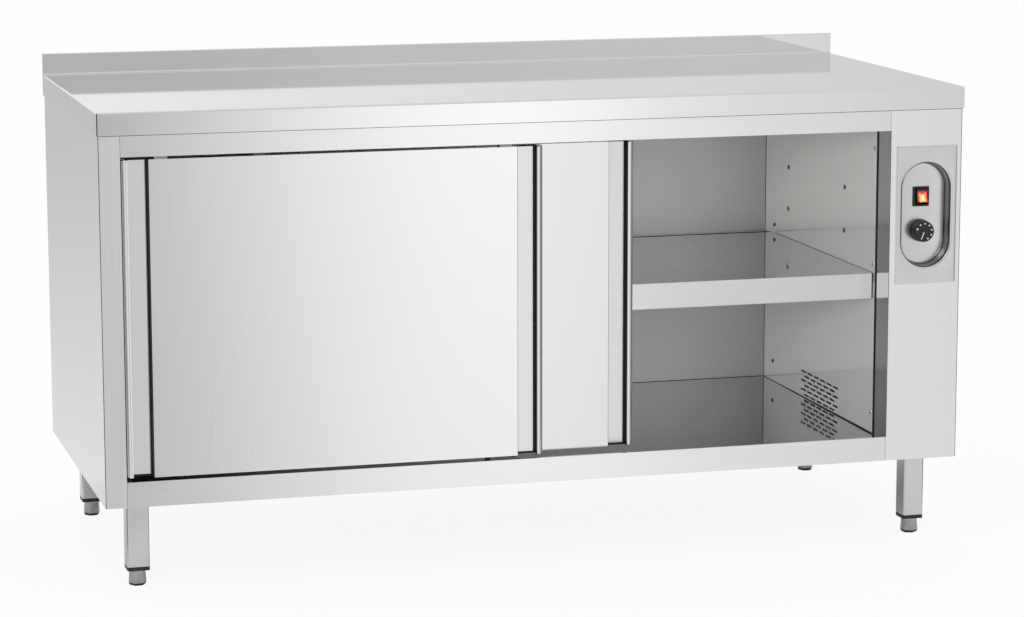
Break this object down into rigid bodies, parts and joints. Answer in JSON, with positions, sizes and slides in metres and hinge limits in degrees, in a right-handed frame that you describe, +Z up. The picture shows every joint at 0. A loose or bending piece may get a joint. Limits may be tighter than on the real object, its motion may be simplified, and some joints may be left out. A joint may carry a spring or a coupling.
{
  "type": "plate warmer cabinet",
  "caption": "Heated stainless steel plate cabinet with a worktop and upstand, hung sliding doors, an inner shelf, a thermostat and a switch, on levelling feet.",
  "frame": {"origin": "on the floor under the middle of the worktop", "axes": "+X to the right along the worktop, +Y to the back, +Z up; the doors face -Y"},
  "size_m": [1.6, 0.7, 0.89],
  "materials": {
    "stainless": "brushed stainless sheet",
    "lining_steel": "smooth stainless lining sheet",
    "galvanised": "plain zinc coated sheet",
    "bright_steel": "bright turned steel",
    "board": "plain chipboard",
    "wool": "mineral wool slab",
    "black_plastic": "fine matt moulded plastic",
    "grey_plastic": "matt moulded plastic",
    "white_plastic": "matt moulded plastic",
    "red_lens": "glossy translucent plastic",
    "dark_enamel": "stove enamel",
    "element_steel": "heat darkened steel tube",
    "cable_sleeve": "silicone sleeve"
  },
  "bodies": {
    "cabinet": {"worktop": "stainless", "worktop_board": "board", "worktop_braces": "galvanised", "left_post": "stainless", "right_column": "stainless", "header_rail": "stainless", "sill_rail": "stainless", "left_side_panel": "stainless", "right_side_panel": "stainless", "back_panel": "stainless", "base_panel": "galvanised", "base_rails": "galvanised", "floor_pan": "lining_steel", "left_liner": "lining_steel", "right_liner": "lining_steel", "back_liner": "lining_steel", "ceiling_liner": "lining_steel", "insulation": "wool", "shelf_pegs": "bright_steel", "liner_inserts": "bright_steel", "panel_screws": "bright_steel", "door_tracks": "galvanised", "bottom_guide": "grey_plastic", "control_plate": "stainless", "rocker_housing": "black_plastic", "thermostat_body": "grey_plastic", "blower_casing": "galvanised", "blower_motor": "dark_enamel", "heating_element": "element_steel", "terminal_block": "white_plastic", "cable_gland": "black_plastic", "wiring": "cable_sleeve", "legs": "stainless", "leg_plugs": "black_plastic"},
    "shelf": {"shelf": "lining_steel", "shelf_stiffener": "lining_steel"},
    "front_door": {"front_door_skin": "stainless", "front_door_back": "lining_steel", "front_door_grips": "stainless", "front_door_channels": "black_plastic", "front_door_strips": "stainless", "front_door_hangers": "galvanised"},
    "front_left_roller": {"front_left_roller": "white_plastic"},
    "front_right_roller": {"front_right_roller": "white_plastic"},
    "rear_door": {"rear_door_skin": "stainless", "rear_door_back": "lining_steel", "rear_door_grips": "stainless", "rear_door_channels": "black_plastic", "rear_door_strips": "stainless", "rear_door_hangers": "galvanised"},
    "rear_left_roller": {"rear_left_roller": "white_plastic"},
    "rear_right_roller": {"rear_right_roller": "white_plastic"},
    "rocker": {"rocker": "red_lens"},
    "knob": {"thermostat_knob": "black_plastic", "thermostat_shaft": "bright_steel"},
    "blower_wheel": {"blower_wheel": "galvanised"},
    "front_left_foot": {"front_left_foot": "bright_steel"},
    "front_right_foot": {"front_right_foot": "bright_steel"},
    "rear_left_foot": {"rear_left_foot": "bright_steel"},
    "rear_right_foot": {"rear_right_foot": "bright_steel"}
  },
  "joints": [
    {"name": "shelf_lift", "type": "slide", "parent": "cabinet", "child": "shelf", "axis": [0, 0, 1], "range_m": [0, 0.03]},
    {"name": "front_door_slide", "type": "slide", "parent": "cabinet", "child": "front_door", "axis": [1, 0, 0], "range_m": [0, 0.657]},
    {"name": "front_left_roller_spin", "type": "hinge", "parent": "front_door", "child": "front_left_roller", "pos_m": [-0.6885, -0.3312, 0.79], "axis": [0, 1, 0], "range_deg": [0, 3424]},
    {"name": "front_right_roller_spin", "type": "hinge", "parent": "front_door", "child": "front_right_roller", "pos_m": [-0.0705, -0.3312, 0.79], "axis": [0, 1, 0], "range_deg": [0, 3424]},
    {"name": "rear_door_slide", "type": "slide", "parent": "cabinet", "child": "rear_door", "axis": [1, 0, 0], "range_m": [-0.178, 0.479]},
    {"name": "rear_left_roller_spin", "type": "hinge", "parent": "rear_door", "child": "rear_left_roller", "pos_m": [-0.5105, -0.3052, 0.79], "axis": [0, 1, 0], "range_deg": [-929, 2497]},
    {"name": "rear_right_roller_spin", "type": "hinge", "parent": "rear_door", "child": "rear_right_roller", "pos_m": [0.1075, -0.3052, 0.79], "axis": [0, 1, 0], "range_deg": [-929, 2497]},
    {"name": "rocker_tilt", "type": "hinge", "parent": "cabinet", "child": "rocker", "pos_m": [0.7295, -0.316, 0.6435], "axis": [1, 0, 0], "range_deg": [0, 20]},
    {"name": "knob_turn", "type": "hinge", "parent": "cabinet", "child": "knob", "pos_m": [0.7295, -0.33, 0.582], "axis": [0, 1, 0], "range_deg": [0, 270]},
    {"name": "blower_spin", "type": "hinge", "parent": "cabinet", "child": "blower_wheel", "pos_m": [0.7238, 0.004, 0.23], "axis": [0, 1, 0], "continuous": true},
    {"name": "front_left_foot_screw", "type": "slide", "parent": "cabinet", "child": "front_left_foot", "axis": [0, 0, -1], "range_m": [0, 0.02]},
    {"name": "front_right_foot_screw", "type": "slide", "parent": "cabinet", "child": "front_right_foot", "axis": [0, 0, -1], "range_m": [0, 0.02]},
    {"name": "rear_left_foot_screw", "type": "slide", "parent": "cabinet", "child": "rear_left_foot", "axis": [0, 0, -1], "range_m": [0, 0.02]},
    {"name": "rear_right_foot_screw", "type": "slide", "parent": "cabinet", "child": "rear_right_foot", "axis": [0, 0, -1], "range_m": [0, 0.02]}
  ],
  "couplings": [
    {"joint": "front_left_roller_spin", "follows": "front_door_slide", "rad_per_m": 90.909},
    {"joint": "front_right_roller_spin", "follows": "front_door_slide", "rad_per_m": 90.909},
    {"joint": "rear_left_roller_spin", "follows": "rear_door_slide", "rad_per_m": 90.909},
    {"joint": "rear_right_roller_spin", "follows": "rear_door_slide", "rad_per_m": 90.909}
  ]
}
